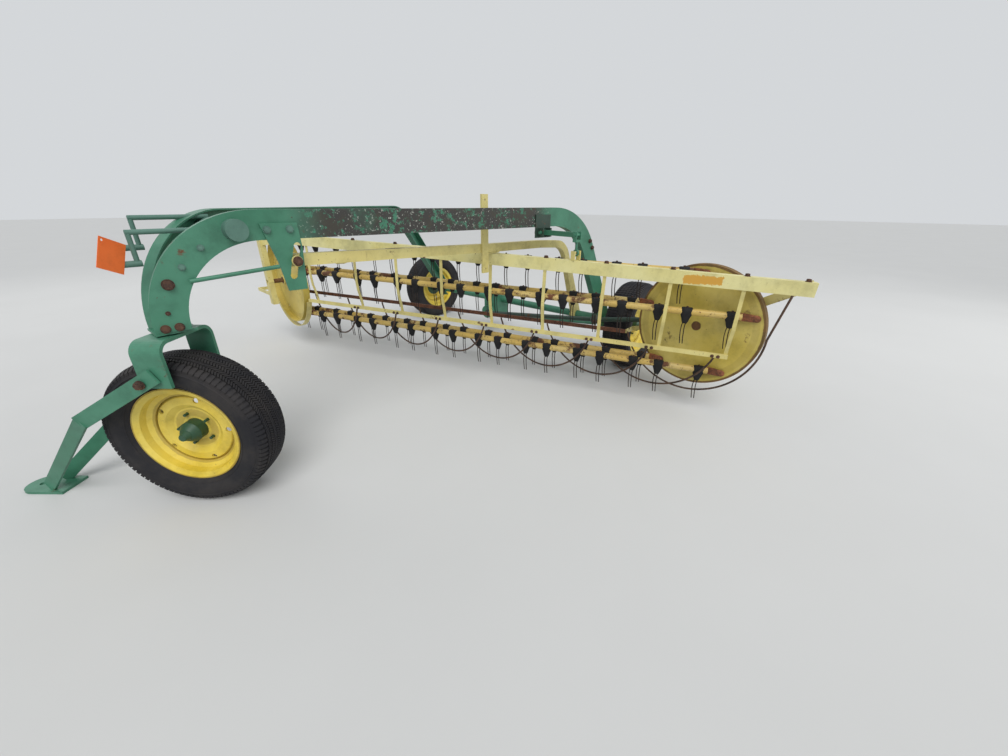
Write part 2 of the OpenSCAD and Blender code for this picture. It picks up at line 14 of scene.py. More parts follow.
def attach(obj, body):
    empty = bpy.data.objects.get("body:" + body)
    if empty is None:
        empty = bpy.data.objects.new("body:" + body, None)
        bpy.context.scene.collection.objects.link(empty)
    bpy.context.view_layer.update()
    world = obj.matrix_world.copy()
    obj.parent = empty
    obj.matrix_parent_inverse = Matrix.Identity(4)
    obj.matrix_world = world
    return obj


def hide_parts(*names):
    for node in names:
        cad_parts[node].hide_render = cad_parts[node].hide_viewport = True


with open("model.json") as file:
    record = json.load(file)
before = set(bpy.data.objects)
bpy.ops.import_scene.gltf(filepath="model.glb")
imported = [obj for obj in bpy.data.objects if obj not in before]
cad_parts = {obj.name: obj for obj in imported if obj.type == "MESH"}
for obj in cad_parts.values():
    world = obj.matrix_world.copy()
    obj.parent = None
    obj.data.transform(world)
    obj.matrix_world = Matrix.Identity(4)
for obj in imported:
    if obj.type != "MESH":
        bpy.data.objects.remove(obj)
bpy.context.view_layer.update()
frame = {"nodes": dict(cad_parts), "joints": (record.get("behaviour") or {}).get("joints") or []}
nodes = frame["nodes"]
joints = {joint["name"]: joint for joint in frame["joints"]}


def joint_at(name):
    """Place and axis of a joint, as vectors."""
    joint = joints[name]
    return Vector(joint["pos_m"]), Vector(joint["axis"]).normalized()


# Places worked out from the frame
WHEEL_CENTRE, _ = joint_at("left_wheel_spin")
KINGPIN, _ = joint_at("dolly_steer")
REAR_DISC, SHAFT = joint_at("reel_spin")
FRONT_DISC, _ = joint_at("front_disc_spin")
_, BEAM_WAY = joint_at("lift_arm_pivot")
ACROSS = Vector((-SHAFT.y, SHAFT.x, 0.0))
UP = Vector((0.0, 0.0, 1.0))
ACROSS_WHEELS = Vector((0.0, 1.0, 0.0))
REEL_RUN = FRONT_DISC - REAR_DISC
REEL_SPAN = REEL_RUN.dot(SHAFT)
REEL_WAY = REEL_RUN.normalized()
REEL_OUT = Vector((-REEL_RUN.y, REEL_RUN.x, 0.0)).normalized()
FRAME_LENGTH = 2.72
HEAD_HALF = 0.062
BEAM_HEAD = Vector((WHEEL_CENTRE.x + FRAME_LENGTH, KINGPIN.y + HEAD_HALF, 0.0))
BEAM_OUT = Vector((BEAM_WAY.y, -BEAM_WAY.x, 0.0))

# The top rail: its distance across from the discs' centres, and its height over them, which rises along the shaft
RAIL_ACROSS = 0.46
RAIL_HEIGHT = 0.32
RAIL_HEIGHT_AT = 0.68
RAIL_RISE = 0.045


def machine(x, y, z):
    """A point counted from the rear axle, the dolly's line and the ground."""
    return Vector((WHEEL_CENTRE.x + x, KINGPIN.y + y, z))


def on_beam(u, z, out=0.0):
    """A point on the left beam's web: u back from its head, z up, out from the web."""
    return BEAM_HEAD + BEAM_WAY * u + UP * z + BEAM_OUT * out


def on_reel_axis(x):
    """A point on the slanted line through both discs' centres, x along the shaft from the rear disc."""
    return REAR_DISC + REEL_RUN * (x / REEL_SPAN)


def on_top_rail(x):
    """The top rail's middle, x along the shaft from the rear disc."""
    return on_reel_axis(x) + ACROSS * RAIL_ACROSS + UP * (RAIL_HEIGHT + RAIL_RISE * (x - RAIL_HEIGHT_AT))


# Materials
def shader(name, roughness=0.6, metallic=0.0, specular=0.5):
    """A material with its Principled shader, ready for a pattern."""
    material = bpy.data.materials.new(name)
    material.use_nodes = True
    bsdf = material.node_tree.nodes["Principled BSDF"]
    bsdf.inputs["Roughness"].default_value = roughness
    bsdf.inputs["Metallic"].default_value = metallic
    bsdf.inputs["Specular IOR Level"].default_value = specular
    return material, bsdf


class Pattern:
    """Builds a material's node pattern on Object coordinates."""

    def __init__(self, material):
        self.tree = material.node_tree
        self.coords = self.node("ShaderNodeTexCoord").outputs["Object"]

    def node(self, kind, **props):
        made = self.tree.nodes.new(kind)
        for key, value in props.items():
            setattr(made, key, value)
        return made

    def link(self, source, target):
        if isinstance(source, (int, float)):
            target.default_value = source
        elif isinstance(source, tuple):
            lacks_alpha = len(source) == 3 and len(target.default_value) == 4
            target.default_value = (*source, 1.0) if lacks_alpha else source
        else:
            self.tree.links.new(source, target)

    def stretched(self, scale):
        """Object coordinates, stretched."""
        mapping = self.node("ShaderNodeMapping")
        self.link(self.coords, mapping.inputs["Vector"])
        mapping.inputs["Scale"].default_value = scale
        return mapping.outputs["Vector"]

    def noise(self, scale, detail, rough=0.55, vector=None):
        made = self.node("ShaderNodeTexNoise")
        self.link(vector or self.coords, made.inputs["Vector"])
        made.inputs["Scale"].default_value = scale
        made.inputs["Detail"].default_value = detail
        made.inputs["Roughness"].default_value = rough
        return made.outputs["Fac"]

    def mask(self, value, low, high, start=0.0, end=1.0):
        """start below low, end above high, and a smooth step between."""
        made = self.node("ShaderNodeMapRange", interpolation_type="SMOOTHSTEP")
        self.link(value, made.inputs["Value"])
        made.inputs["From Min"].default_value = low
        made.inputs["From Max"].default_value = high
        made.inputs["To Min"].default_value = start
        made.inputs["To Max"].default_value = end
        return made.outputs["Result"]

    def math(self, operation, a, b=0.0):
        made = self.node("ShaderNodeMath", operation=operation, use_clamp=operation != "SUBTRACT")
        self.link(a, made.inputs[0])
        self.link(b, made.inputs[1])
        return made.outputs[0]

    def plus(self, a, b):
        """a + b, free to pass 1."""
        made = self.node("ShaderNodeMath", operation="ADD")
        self.link(a, made.inputs[0])
        self.link(b, made.inputs[1])
        return made.outputs[0]

    def far_from(self, point, way):
        """Distance of the surface point from the plane through point that is square to way."""
        along = self.node("ShaderNodeVectorMath", operation="DOT_PRODUCT")
        self.link(self.coords, along.inputs[0])
        along.inputs[1].default_value = tuple(way)
        made = self.node("ShaderNodeMath", operation="SUBTRACT")
        self.link(along.outputs["Value"], made.inputs[0])
        made.inputs[1].default_value = Vector(point).dot(Vector(way))
        return made.outputs[0]

    def band(self, point, way, low, high, soft):
        """1 where the surface lies between low and high along way from point."""
        far = self.far_from(point, way)
        above = self.mask(far, low - soft, low + soft)
        below = self.mask(far, high - soft, high + soft, 1, 0)
        return self.math("MULTIPLY", above, below)

    def from_line(self, point, way):
        """Distance of the surface point from a line."""
        moved = self.node("ShaderNodeVectorMath", operation="SUBTRACT")
        self.link(self.coords, moved.inputs[0])
        moved.inputs[1].default_value = tuple(point)
        along = self.node("ShaderNodeVectorMath", operation="DOT_PRODUCT")
        self.link(moved.outputs["Vector"], along.inputs[0])
        along.inputs[1].default_value = tuple(way)
        foot = self.node("ShaderNodeVectorMath", operation="SCALE")
        foot.inputs[0].default_value = tuple(way)
        self.link(along.outputs["Value"], foot.inputs["Scale"])
        away = self.node("ShaderNodeVectorMath", operation="SUBTRACT")
        self.link(moved.outputs["Vector"], away.inputs[0])
        self.link(foot.outputs["Vector"], away.inputs[1])
        far = self.node("ShaderNodeVectorMath", operation="LENGTH")
        self.link(away.outputs["Vector"], far.inputs[0])
        return far.outputs["Value"]

    def mix(self, factor, a, b):
        made = self.node("ShaderNodeMix", data_type="RGBA")
        self.link(factor, made.inputs[0])
        self.link(a, made.inputs[6])
        self.link(b, made.inputs[7])
        return made.outputs[2]

    def bump(self, height, strength, distance, bsdf):
        made = self.node("ShaderNodeBump")
        made.inputs["Strength"].default_value = strength
        made.inputs["Distance"].default_value = distance
        self.link(height, made.inputs["Height"])
        self.link(made.outputs["Normal"], bsdf.inputs["Normal"])


RUST = (0.16, 0.060, 0.025)
OLD_RUST = (0.075, 0.035, 0.020)
LICHEN = (0.034, 0.032, 0.028)
PALE_LICHEN = (0.42, 0.44, 0.38)
MOULD = (0.040, 0.036, 0.026)
BARE_PATCH = (0.62, 0.33, 0.045)
# How dark grime is against fresh paint, and how soft the bare patch's edge is
GRIME_SHADE = 0.42
PATCH_EDGE = 0.002


def paint(name, fresh, faded, rust, chalk=0.5, growth_zone=None, patch_box=None, rings=()):
    """Old enamel: faded in blotches, rusting in specks, sheets and streaks.

    rust is the share of the surface that has lost its paint, chalk how far the blotches fade. growth_zone is the
    band (point, way, low, high) that holds dark growth, patch_box the bands of the same kind round the bare orange
    patch, and rings the rusty bands (point, axis, inner, outer, share) round an axis; on the rear disc the edge ring is
    painted shade.
    """
    material, bsdf = shader(name, roughness=0.55)
    on = Pattern(material)
    blotch = on.mask(on.noise(3.2, 5), 0.35, 0.68)
    colour = on.mix(on.math("MULTIPLY", blotch, chalk), fresh, faded)
    grime = on.mask(on.noise(9.0, 6, 0.7), 0.42, 0.75)
    colour = on.mix(on.math("MULTIPLY", grime, 0.45), colour, tuple(GRIME_SHADE * c for c in fresh))
    height = on.noise(160.0, 3)
    if patch_box:
        edge = on.noise(30.0, 5, 0.7)
        inside = None
        for point, way, low, high in patch_box:
            wavy = on.node("ShaderNodeMath", operation="MULTIPLY_ADD")
            on.link(edge, wavy.inputs[0])
            wavy.inputs[1].default_value = 0.05
            on.link(on.far_from(point, way), wavy.inputs[2])
            above = on.mask(wavy.outputs[0], low, low + PATCH_EDGE)
            below = on.mask(wavy.outputs[0], high, high + PATCH_EDGE, 1, 0)
            part = on.math("MULTIPLY", above, below)
            inside = part if inside is None else on.math("MULTIPLY", inside, part)
        colour = on.mix(inside, colour, BARE_PATCH)
    if growth_zone:
        point, way, low, high = growth_zone
        spots = on.mask(on.noise(22.0, 7, 0.78), 0.40, 0.46)
        coarse = on.mask(on.noise(3.6, 4, 0.6), 0.25, 0.42, 0.55, 1.0)
        growth = on.math("MULTIPLY", on.math("MULTIPLY", spots, coarse), on.band(point, way, low, high, 0.10))
        scurf = on.mix(on.mask(on.noise(80.0, 4, 0.7), 0.60, 0.65), LICHEN, PALE_LICHEN)
        colour = on.mix(growth, colour, on.mix(on.mask(on.noise(12.0, 5), 0.50, 0.62), scurf, MOULD))
        height = on.math("ADD", height, growth)
    speck = on.mask(on.noise(55.0, 5, 0.7), 0.72 - 0.22 * rust, 0.78 - 0.20 * rust)
    sheet = on.mask(on.noise(6.5, 8, 0.72), 0.70 - 0.30 * rust, 0.78 - 0.28 * rust)
    streaks = on.mask(on.noise(11.0, 5, 0.7, on.stretched((5, 5, 0.6))), 0.68 - 0.14 * rust, 0.86 - 0.14 * rust)
    bare = on.math("MAXIMUM", on.math("MAXIMUM", speck, sheet), on.math("MULTIPLY", streaks, 0.55))
    # Rings in rust's colour: real rust, except the rear disc's edge ring, which is painted shade
    for point, axis, inner, outer, share in rings:
        ragged = on.math("MULTIPLY", on.noise(20.0, 6, 0.75), 0.012)
        far = on.plus(on.from_line(point, axis), ragged)
        ring = on.math("MULTIPLY", on.mask(far, inner + 0.005, inner + 0.009),
                       on.mask(far, outer + 0.006, outer + 0.010, 1, 0))
        bare = on.math("MAXIMUM", bare, on.math("MULTIPLY", ring, share))
    rusty = on.mix(on.mask(on.noise(24.0, 6, 0.7), 0.35, 0.65), RUST, OLD_RUST)
    on.link(on.mix(bare, colour, rusty), bsdf.inputs["Base Color"])
    on.link(on.mask(bare, 0.0, 1.0, 0.46, 0.86), bsdf.inputs["Roughness"])
    on.bump(on.math("ADD", on.math("MULTIPLY", bare, 0.6), on.math("MULTIPLY", height, 0.25)), 0.35, 0.0015, bsdf)
    return material


def rusted(name, light, dark, metallic=0.15):
    """Bare iron under a coat of rust."""
    material, bsdf = shader(name, roughness=0.82, metallic=metallic)
    on = Pattern(material)
    colour = on.mix(on.mask(on.noise(18.0, 7, 0.7), 0.38, 0.64), light, dark)
    specks = on.math("MULTIPLY", on.mask(on.noise(90.0, 4, 0.6), 0.5, 0.7), 0.5)
    colour = on.mix(specks, colour, tuple(1.8 * c for c in light))
    on.link(colour, bsdf.inputs["Base Color"])
    on.bump(on.noise(120.0, 5), 0.5, 0.0015, bsdf)
    return material


def rubber(name, base, dust, amount):
    """Weathered rubber with pale dust lying in its hollows."""
    material, bsdf = shader(name, roughness=0.78, specular=0.35)
    on = Pattern(material)
    lies = on.math("MULTIPLY", on.mask(on.noise(7.0, 6, 0.65), 0.38, 0.70), amount)
    on.link(on.mix(lies, base, dust), bsdf.inputs["Base Color"])
    on.bump(on.noise(220.0, 4), 0.25, 0.001, bsdf)
    return material


GREEN = (0.036, 0.168, 0.096)
GREEN_FADED = (0.095, 0.280, 0.185)
YELLOW_FADED = (0.72, 0.64, 0.26)

DOLLY_WHEEL, DOLLY_AXLE = joint_at("front_wheel_spin")
RIGHT_WHEEL, _ = joint_at("right_wheel_spin")
growth_zone = (on_beam(0.56, 1.13), BEAM_WAY, 0.0, 1.42)
top_patch = (
    (on_reel_axis(0.14) + ACROSS * RAIL_ACROSS, REEL_WAY, 0.02, 0.22),
    (on_top_rail(0.20), UP, -0.004, 0.040),
)
green_paint = paint("green_enamel", GREEN, GREEN_FADED, 0.22)
beam_paint = paint("green_enamel_weathered", GREEN, GREEN_FADED, 0.24, growth_zone=growth_zone)
grey_green_paint = paint("grey_green_enamel", (0.070, 0.165, 0.125), (0.135, 0.255, 0.205), 0.25)
dark_paint = paint("dark_enamel", (0.020, 0.050, 0.034), (0.045, 0.075, 0.055), 0.45)
pale_paint = paint("faded_yellow", (0.66, 0.56, 0.20), YELLOW_FADED, 0.36, chalk=0.8)
top_paint = paint("faded_yellow_patched", (0.70, 0.63, 0.26), (0.77, 0.72, 0.36), 0.26, chalk=0.8, patch_box=top_patch)
tube_paint = paint("tube_yellow", (0.60, 0.41, 0.10), (0.62, 0.49, 0.20), 0.62, chalk=0.7)
casting_rust = rusted("rusted_casting", (0.28, 0.100, 0.045), (0.11, 0.045, 0.025))
rail_rust = rusted("rusted_rail", (0.19, 0.080, 0.045), (0.075, 0.036, 0.025))
hoop_iron = rusted("hoop_iron", (0.120, 0.070, 0.045), (0.045, 0.030, 0.024), 0.3)
bolt_iron = rusted("bolt_iron", (0.13, 0.065, 0.040), (0.050, 0.032, 0.025), 0.35)
wire_steel = rusted("tine_wire", (0.060, 0.045, 0.038), (0.020, 0.017, 0.016), 0.5)
tyre_rubber = rubber("tyre_rubber", (0.013, 0.013, 0.016), (0.070, 0.060, 0.052), 0.34)
hub_paint = paint("greasy_hub_green", (0.018, 0.062, 0.030), (0.040, 0.110, 0.060), 0.30)
mount_rubber = rubber("mount_rubber", (0.008, 0.008, 0.009), (0.030, 0.030, 0.028), 0.35)
flag_orange = paint("flag_orange", (0.86, 0.145, 0.018), (0.90, 0.22, 0.05), 0.03, chalk=0.5)


# Rusty rings of a rim: inner and outer radius and the share that has rusted, for the groove behind the flange,
# the vents and the lugs
RIM_RINGS = ((0.2095, 0.222, 0.55), (0.152, 0.166, 0.40), (0.056, 0.086, 0.30))


def rim_paint(name, centre, axle):
    """Bright yellow wheel enamel, rusting in rings."""
    rings = [(centre, axle, *ring) for ring in RIM_RINGS]
    return paint(name, (0.76, 0.55, 0.040), (0.80, 0.66, 0.16), 0.22, chalk=0.75, rings=rings)


def disc_paint(name, centre, edge_rust_and_shade):
    """Yellow enamel of a reel disc, worn to brown rust round its shaft and a little inside the edge, and brown round
    its edge: a little rust, on the rear disc a painted shade for its rim's shadowed outer side.
    """
    # The first ring is the edge: a little rust, and on the rear disc a painted shade for the rim's shadowed outer side
    worn = ((0.352, 0.380, edge_rust_and_shade), (-0.02, 0.026, 0.95), (0.300, 0.336, 0.16))
    rings = [(centre, SHAFT, *ring) for ring in worn]
    return paint(name, (0.56, 0.43, 0.070), (0.68, 0.56, 0.16), 0.30, chalk=0.85, rings=rings)


def finish_node(names, material):
    """Gives CAD nodes their finished material."""
    for name in names:
        mesh = nodes[name].data
        mesh.materials.clear()
        mesh.materials.append(material)


finish_node(["beam_left"], beam_paint)
finish_node(["cross_tube", "crank_near", "crank_far"], grey_green_paint)
finish_node(["beam_right", "front_head", "hanger_plate", "stay_rod", "axle_tube",
             "rear_gearbox", "axle_stay", "saddle", "tongue", "hitch_plate", "lift_arm", "lift_link",
             "reel_gearbox"], green_paint)
finish_node(["front_hub", "left_hub", "right_hub"], hub_paint)
finish_node(["lift_bracket", "drive_shaft"], dark_paint)
finish_node(["front_rim"], rim_paint("front_rim_yellow", DOLLY_WHEEL, DOLLY_AXLE))
finish_node(["left_rim"], rim_paint("left_rim_yellow", WHEEL_CENTRE, ACROSS_WHEELS))
finish_node(["right_rim"], rim_paint("right_rim_yellow", RIGHT_WHEEL, ACROSS_WHEELS))
# The rear disc's brown edge ring is painted shade for its rim's shadowed outer side; the front disc's is a little rust
finish_node(["disc_rear"], disc_paint("rear_disc_yellow", REAR_DISC, 0.85))
finish_node(["disc_front"], disc_paint("front_disc_yellow", FRONT_DISC, 0.12))
finish_node(["basket_arm", "centre_post", "front_brace", "lower_rail", "strips", "front_post", "rear_bracket",
             "lift_lug", "end_band"], pale_paint)
finish_node(["top_rail"], top_paint)
finish_node(["rear_rail"], rail_rust)
finish_node(["hoops"], hoop_iron)
finish_node(["tag"], flag_orange)


# Geometry trees
SOCKETS = {"material": "NodeSocketMaterial", "object": "NodeSocketObject"}


class Tree:
    """A Geometry Nodes tree with named inputs, built a node at a time."""

    def __init__(self, name, **inputs):
        self.group = bpy.data.node_groups.new(name, "GeometryNodeTree")
        self.group.interface.new_socket("Geometry", in_out="INPUT", socket_type="NodeSocketGeometry")
        for key, value in inputs.items():
            kind = "NodeSocketInt" if isinstance(value, int) else SOCKETS.get(value, "NodeSocketFloat")
            socket = self.group.interface.new_socket(key, in_out="INPUT", socket_type=kind)
            if value not in SOCKETS:
                socket.default_value = value
        self.group.interface.new_socket("Geometry", in_out="OUTPUT", socket_type="NodeSocketGeometry")
        self.inputs = self.group.nodes.new("NodeGroupInput").outputs
        self.end = self.group.nodes.new("NodeGroupOutput").inputs["Geometry"]

    def node(self, kind, links=(), **props):
        made = self.group.nodes.new(kind)
        for key, value in props.items():
            setattr(made, key, value)
        for key, value in dict(links).items():
            if isinstance(value, bpy.types.NodeSocket):
                self.group.links.new(value, made.inputs[key])
            else:
                made.inputs[key].default_value = value
        return made

    def close(self, geometry):
        """Ends the tree in Realize Instances and Set Material."""
        real = self.node("GeometryNodeRealizeInstances", {"Geometry": geometry})
        dressed = self.node("GeometryNodeSetMaterial", {"Geometry": real.outputs[0],
                                                        "Material": self.inputs["material"]})
        self.group.links.new(dressed.outputs[0], self.end)
        return self.group


def tube_tree():
    """A round rod along every edge of the mesh."""
    tree = Tree("rod_along_path", radius=0.006, sides=10, material="material")
    path = tree.node("GeometryNodeMeshToCurve", {"Mesh": tree.inputs["Geometry"]})
    ring = tree.node("GeometryNodeCurvePrimitiveCircle", {"Resolution": tree.inputs["sides"],
                                                          "Radius": tree.inputs["radius"]})
    rod = tree.node("GeometryNodeCurveToMesh", {"Curve": path.outputs[0], "Profile Curve": ring.outputs[0],
                                                "Fill Caps": True})
    smooth = tree.node("GeometryNodeSetShadeSmooth", {"Geometry": rod.outputs[0]})
    return tree.close(smooth.outputs[0])


def copies_tree():
    """A copy of the shape on every point, turned so that its z follows the point's way and its x the point's side."""
    tree = Tree("copies_on_points", shape="object", material="material")
    shape = tree.node("GeometryNodeObjectInfo", {"Object": tree.inputs["shape"]})
    way = tree.node("GeometryNodeInputNamedAttribute", {"Name": "way"}, data_type="FLOAT_VECTOR")
    side = tree.node("GeometryNodeInputNamedAttribute", {"Name": "side"}, data_type="FLOAT_VECTOR")
    size = tree.node("GeometryNodeInputNamedAttribute", {"Name": "size"}, data_type="FLOAT")
    first = tree.node("FunctionNodeAlignRotationToVector", {"Vector": way.outputs[0]}, axis="Z")
    turned = tree.node("FunctionNodeAlignRotationToVector", {"Rotation": first.outputs[0], "Vector": side.outputs[0]},
                       axis="X", pivot_axis="Z")
    placed = tree.node("GeometryNodeInstanceOnPoints", {
        "Points": tree.inputs["Geometry"], "Instance": shape.outputs["Geometry"], "Rotation": turned.outputs[0],
        "Scale": size.outputs[0]})
    return tree.close(placed.outputs[0])


ROD = tube_tree()
COPIES = copies_tree()


def grow(name, mesh, tree, values, body):
    """Runs a tree on a mesh and keeps the plain result as a piece of that body."""
    seed = bpy.data.objects.new(name + "_seed", mesh)
    bpy.context.scene.collection.objects.link(seed)
    modifier = seed.modifiers.new("tree", "NODES")
    modifier.node_group = tree
    for item in tree.interface.items_tree:
        if item.in_out == "INPUT" and item.name in values:
            modifier[item.identifier] = values[item.name]
    bpy.context.view_layer.update()
    graph = bpy.context.evaluated_depsgraph_get()
    made = bpy.data.meshes.new_from_object(seed.evaluated_get(graph), depsgraph=graph)
    seed.modifiers.clear()
    bpy.data.objects.remove(seed)
    return keep(name, made, body)


def keep(name, mesh, body):
    """Makes a finished mesh a piece that rides on a body."""
    piece = bpy.data.objects.new(name, mesh)
    bpy.context.scene.collection.objects.link(piece)
    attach(piece, body)
    return piece


def path_mesh(runs):
    """A mesh of open runs of points, joined by edges."""
    points, edges = [], []
    for run in runs:
        start = len(points)
        points += [tuple(point) for point in run]
        edges += [(start + i, start + i + 1) for i in range(len(run) - 1)]
    mesh = bpy.data.meshes.new("path")
    mesh.from_pydata(points, edges, [])
    return mesh


def rods(name, runs, radius, material, body, sides):
    """Round rods along runs of points."""
    return grow(name, path_mesh(runs), ROD, {"radius": radius, "sides": sides, "material": material}, body)


def point_mesh(spots):
    """Points with the way and side that a copy follows, and its size. A spot is (point, way, side, size)."""
    mesh = bpy.data.meshes.new("spots")
    mesh.from_pydata([tuple(spot[0]) for spot in spots], [], [])
    for key, column, kind in (("way", 1, "FLOAT_VECTOR"), ("side", 2, "FLOAT_VECTOR"), ("size", 3, "FLOAT")):
        layer = mesh.attributes.new(key, kind, "POINT")
        for item, spot in zip(layer.data, spots):
            if kind == "FLOAT":
                item.value = spot[column]
            else:
                item.vector = spot[column]
    return mesh


def copies(name, shape, spots, material, body):
    """Copies of a shape on spots."""
    return grow(name, point_mesh(spots), COPIES, {"shape": shape, "material": material}, body)


def hidden_shape(name, build, smooth=False):
    """A shape that only the trees use. build fills a bmesh."""
    mesh = bpy.data.meshes.new(name)
    shape = bmesh.new()
    build(shape)
    bmesh.ops.recalc_face_normals(shape, faces=shape.faces)
    if smooth:
        for face in shape.faces:
            face.smooth = True
    shape.to_mesh(mesh)
    shape.free()
    return bpy.data.objects.new(name, mesh)


def prism(shape, outline, low, high, lean=0.0):
    """Adds an outline of (x, y) points, extruded from low to high, its top moved along x by lean."""
    bottom = [shape.verts.new((x, y, low)) for x, y in outline]
    top = [shape.verts.new((x + lean, y, high)) for x, y in outline]
    shape.faces.new(list(reversed(bottom)))
    shape.faces.new(top)
    count = len(outline)
    for i in range(count):
        j = (i + 1) % count
        shape.faces.new((bottom[i], bottom[j], top[j], top[i]))


def ring(radius, count):
    """Points of a regular polygon."""
    angles = [2 * math.pi * i / count for i in range(count)]
    return [(radius * math.cos(angle), radius * math.sin(angle)) for angle in angles]


def lathe(shape, profile, count):
    """Adds a body of revolution about z. profile is (radius, z) points, closed where a radius is 0."""
    rows = []
    for radius, z in profile:
        if radius == 0:
            rows.append([shape.verts.new((0, 0, z))])
        else:
            rows.append([shape.verts.new((x, y, z)) for x, y in ring(radius, count)])
    for low, high in zip(rows, rows[1:]):
        for i in range(count):
            j = (i + 1) % count
            quad = [low[i % len(low)], low[j % len(low)], high[j % len(high)], high[i % len(high)]]
            face = list(dict.fromkeys(quad))
            if len(face) > 2:
                shape.faces.new(face)


def build_bolt(shape):
    """A washer, a hex head and a bolt's rounded end, 1 unit across the washer."""
    prism(shape, ring(0.5, 16), -0.02, 0.10)
    prism(shape, ring(0.42, 6), 0.08, 0.42)
    lathe(shape, [(0.30, 0.40), (0.28, 0.47), (0, 0.49)], 12)


BOLT = hidden_shape("bolt_shape", build_bolt)


# Tyres
TYRE_RADIUS = WHEEL_CENTRE.z
TREAD_BASE = TYRE_RADIUS - 0.0095
TYRE_SIDES = 96
PITCHES = 92


def wheel_frame(centre, axle):
    """Turns a wheel drawn about z into place."""
    axle = axle.normalized()
    side = UP.cross(axle).normalized()
    return Matrix(((side.x, UP.x, axle.x, centre.x), (side.y, UP.y, axle.y, centre.y),
                   (side.z, UP.z, axle.z, centre.z), (0, 0, 0, 1)))


def carcass_profile():
    """Section of the tyre, (radius, across), from the bead on one side to the other."""
    half = [(0.1985, 0.0655), (0.2150, 0.0712), (0.2230, 0.0830), (0.2400, 0.0935), (0.2620, 0.0992),
            (0.2800, 0.0990), (0.2960, 0.0965), (0.3080, 0.0915), (0.3155, 0.0845), (0.3195, 0.0700),
            (0.3222, 0.0400), (0.3232, 0.0)]
    return [(r, -w) for r, w in half] + [(r, w) for r, w in reversed(half[:-1])]


def build_tyre(name, centre, axle, body, node, lug):
    """The tyre's carcass with two fine ribs on each sidewall, and the tread, of which lug is one pitch."""
    mesh = bpy.data.meshes.new(name)
    shape = bmesh.new()
    section = carcass_profile()
    lathe(shape, section, TYRE_SIDES)
    lathe(shape, [section[0], section[-1]], TYRE_SIDES)
    for side in (-1, 1):
        for radius, across, proud in ((0.2325, 0.0880, 0.0012), (0.2900, 0.0972, 0.0010)):
            foot, top = side * across, side * (across + proud + 0.002)
            lathe(shape, [(radius - 0.003, foot), (radius - 0.001, top), (radius + 0.001, top),
                          (radius + 0.003, foot)], TYRE_SIDES)
    for face in shape.faces:
        face.smooth = True
    bmesh.ops.remove_doubles(shape, verts=shape.verts, dist=1e-5)
    bmesh.ops.recalc_face_normals(shape, faces=shape.faces)
    shape.to_mesh(mesh)
    shape.free()
    place = wheel_frame(centre, axle)
    mesh.transform(place)
    mesh.materials.append(tyre_rubber)
    piece = keep(name, mesh, body)
    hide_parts(node)
    turn = place.to_3x3()
    spots = []
    for pitch in range(PITCHES):
        angle = 2 * math.pi * pitch / PITCHES
        out = Vector((math.cos(angle), math.sin(angle), 0))
        spots.append((place @ (out * TREAD_BASE), turn @ out, turn @ UP, 1.0))
    copies(name + "_tread", lug, spots, tyre_rubber, body)


TREAD_HALF = 0.066
BLOCK_FOOT = -0.004


def crown(across):
    """Height of the worn tread above its base, lower towards the shoulders."""
    return 0.0092 - 0.0040 * (across / TREAD_HALF) ** 2


def tread_block(shape, across, reach, along, lean, width):
    """A tread block on the unrolled tread, x across the tyre and y round it. It reaches to both sides of across,
    and its ends lie lean before and behind along."""
    half = width / 2
    near, far = along - lean, along + lean
    outline = [(across - reach, near - half), (across + reach, far - half),
               (across + reach, far + half), (across - reach, near + half)]
    prism(shape, outline, BLOCK_FOOT, crown(across))


# Sections of a shoulder lug, going out: distance across, top, foot and share of its width
SHOULDER = ((TREAD_HALF, 0.0052, BLOCK_FOOT, 0.8), (0.080, 0.0005, -0.012, 1.0), (0.0955, -0.0095, -0.020, 1.1))


def shoulder_lugs(shape, width):
    """Lugs that run over both of the tyre's shoulders, wider and lower towards the sidewall."""
    for side in (-1, 1):
        rows = []
        for across, top, foot, share in SHOULDER:
            half = share * width / 2
            section = ((-half, foot), (half, foot), (half, top), (-half, top))
            rows.append([shape.verts.new((side * across, y, z)) for y, z in section])
        for near, far in zip(rows, rows[1:]):
            for i in range(4):
                j = (i + 1) % 4
                shape.faces.new((near[i], near[j], far[j], far[i]))
        shape.faces.new(rows[0])
        shape.faces.new(rows[-1])


def build_traction_lug(shape):
    """One pitch of the front tyre: fine slanted bars in six rows, and a lug over each shoulder."""
    for row in range(6):
        lean = 0.0052 if row % 2 else -0.0052
        for along in (-0.0056, 0.0056):
            tread_block(shape, -0.0525 + 0.021 * row, 0.0092, along, lean, 0.0076)
    shoulder_lugs(shape, 0.0145)


def build_rib_lug(shape):
    """One pitch of a rear tyre: five rows of blocks with a thin cut between them, and a short shoulder lug."""
    for row in range(5):
        tread_block(shape, -0.050 + 0.025 * row, 0.0105, 0.0, 0.0035, 0.0178)
    shoulder_lugs(shape, 0.0160)


front_lug = hidden_shape("traction_lug", build_traction_lug)
rib_lug = hidden_shape("rib_lug", build_rib_lug)
build_tyre("front_tyre_tread", DOLLY_WHEEL, DOLLY_AXLE, "front_wheel", "front_tyre", front_lug)
build_tyre("left_tyre_tread", WHEEL_CENTRE, ACROSS_WHEELS, "left_wheel", "left_tyre", rib_lug)
build_tyre("right_tyre_tread", RIGHT_WHEEL, -ACROSS_WHEELS, "right_wheel", "right_tyre", rib_lug)


